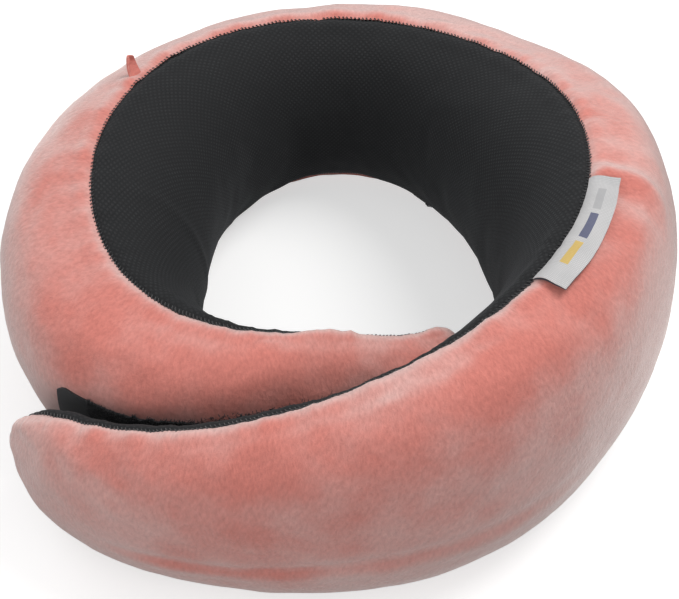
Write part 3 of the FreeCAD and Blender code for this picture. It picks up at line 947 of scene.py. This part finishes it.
for name, side in (("upper", 1), ("lower", -1)):
    coil = Tubes(sides=6)
    angle = ZIP_ANGLES[0] + (0.0 if side > 0 else 0.55)
    while angle < ZIP_ANGLES[1]:
        path = [
            zip_point(side * along * MM, out * MM, angle + shift)
            for along, out, shift in (
                (1.6, -0.5, 0.0), (1.5, 0.25, 0.0), (0.7, 0.4, 0.05), (-0.15, 0.1, 0.1),
                (-0.15, -0.4, 0.2), (0.7, -0.7, 0.35), (1.55, -0.6, 0.5))]
        normal = zip_point(0, 1 * MM, angle) - zip_point(0, 0, angle)
        coil.add(path, 0.28 * MM, normal)
        angle += 1.1
    piece = coil.build(f"zip_coil_{name}", COIL)
    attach(piece, "back")
    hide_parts(f"zip_teeth_{name}")


# the cloth's edges turn in beside the zip
window = slice(*(
    int(np.searchsorted(plush["s"][:, 0], end)) for end in (ZIP_FROM - 3 * MM, ZIP_TO + 3 * MM)))
for grid, material, slot in ((plush, PLUSH, "plush"), (lining, LINING, "lining_mesh")):
    edge = grid["points"][window, -1]
    inward = -grid["normals"][window, -1]
    hem = np.stack([edge + inward * depth * MM for depth in (0.0, 0.5, 1.3, 2.2)], 1)
    thin = 0.15 * MM * (grid["points"][window, -2] - edge)[:, None] / STEP_ALONG
    piece = sheet_mesh(f"zip_hem_{grid['side']}", (hem, hem + thin), material)
    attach(piece, "back")
    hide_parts(f"{grid['side']}_back")


def dress(node, material):
    """Give a CAD node a finished material."""
    slots = frame["nodes"][node].data.materials
    slots.clear()
    slots.append(material)


for node in ("zip_tape_upper", "zip_tape_lower"):
    dress(node, TAPE)
for node in ("zip_slider", "zip_pull", "zip_end_stop_right", "zip_end_stop_left"):
    dress(node, ENAMEL)

# ---- stage, light and camera -----------------------------------------------------------------

scene = bpy.context.scene
scene.view_settings.view_transform = "Standard"

floor_mesh = bpy.data.meshes.new("floor")
floor_mesh.from_pydata([(-4, -4, 0), (4, -4, 0), (4, 4, 0), (-4, 4, 0)], [], [(0, 1, 2, 3)])
floor = bpy.data.objects.new("floor", floor_mesh)
scene.collection.objects.link(floor)
floor_shader = Shader("pale_floor", (0.60, 0.60, 0.60), 0.9, Specular_IOR_Level=0.1,
                      Emission_Color=(1, 1, 1, 1), Emission_Strength=0.55)
floor_mesh.materials.append(floor_shader.material)
floor.visible_diffuse = False

# A bright room above and a dim one below, so the underside stays soft and dark.
world = bpy.data.worlds.new("studio")
world.use_nodes = True
sky = world.node_tree.nodes
height = sky.new("ShaderNodeSeparateXYZ")
world.node_tree.links.new(sky.new("ShaderNodeTexCoord").outputs["Generated"], height.inputs[0])
shade = sky.new("ShaderNodeMapRange")
shade.inputs["From Min"].default_value = -0.5
shade.inputs["From Max"].default_value = 0.6
shade.inputs["To Min"].default_value = 0.12
shade.inputs["To Max"].default_value = 0.62
world.node_tree.links.new(height.outputs["Z"], shade.inputs["Value"])
world.node_tree.links.new(shade.outputs[0], sky["Background"].inputs["Strength"])
sky["Background"].inputs["Color"].default_value = (1.0, 1.0, 1.0, 1)
scene.world = world


def area_light(name, place, target, size, power, colour=(1, 1, 1)):
    data = bpy.data.lights.new(name, "AREA")
    data.shape = "DISK"
    data.size = size
    data.energy = power
    data.color = colour
    light = bpy.data.objects.new(name, data)
    scene.collection.objects.link(light)
    light.location = place
    light.rotation_euler = (Vector(target) - Vector(place)).to_track_quat("-Z", "Y").to_euler()
    return light


area_light("key", (0.60, 0.20, 1.15), (0, 0, 0.05), 0.7, 9.5, (1.0, 0.985, 0.97))
area_light("rim", (-0.75, 0.75, 0.7), (0, 0, 0.05), 0.8, 2.5)
area_light("fill", (-0.45, -1.15, 0.6), (0, 0, 0.04), 0.9, 4.6)

CAMERA_ELEVATION = math.radians(49.3)
CAMERA_DISTANCE = 0.688
CAMERA_ROLL = math.radians(2.2)
CAMERA_TARGET = Vector(NECK_AXIS.tolist()) + Vector((0, 0, 55 * MM - SETTLED))
camera_data = bpy.data.cameras.new("camera")
camera = bpy.data.objects.new("camera", camera_data)
scene.collection.objects.link(camera)
scene.camera = camera
camera_data.lens = 90.1
camera_data.sensor_width = 36
camera_data.shift_x = 0.014
camera_data.shift_y = -0.0412
camera_data.clip_start = 0.01
back_axis = Vector((0, -math.cos(CAMERA_ELEVATION), math.sin(CAMERA_ELEVATION)))
level_right = Vector((1, 0, 0))
level_up = back_axis.cross(level_right)
right = level_right * math.cos(CAMERA_ROLL) - level_up * math.sin(CAMERA_ROLL)
up = level_right * math.sin(CAMERA_ROLL) + level_up * math.cos(CAMERA_ROLL)
turn = Matrix((right, up, back_axis)).transposed()
camera.matrix_world = Matrix.Translation(CAMERA_TARGET + back_axis * CAMERA_DISTANCE) @ turn.to_4x4()
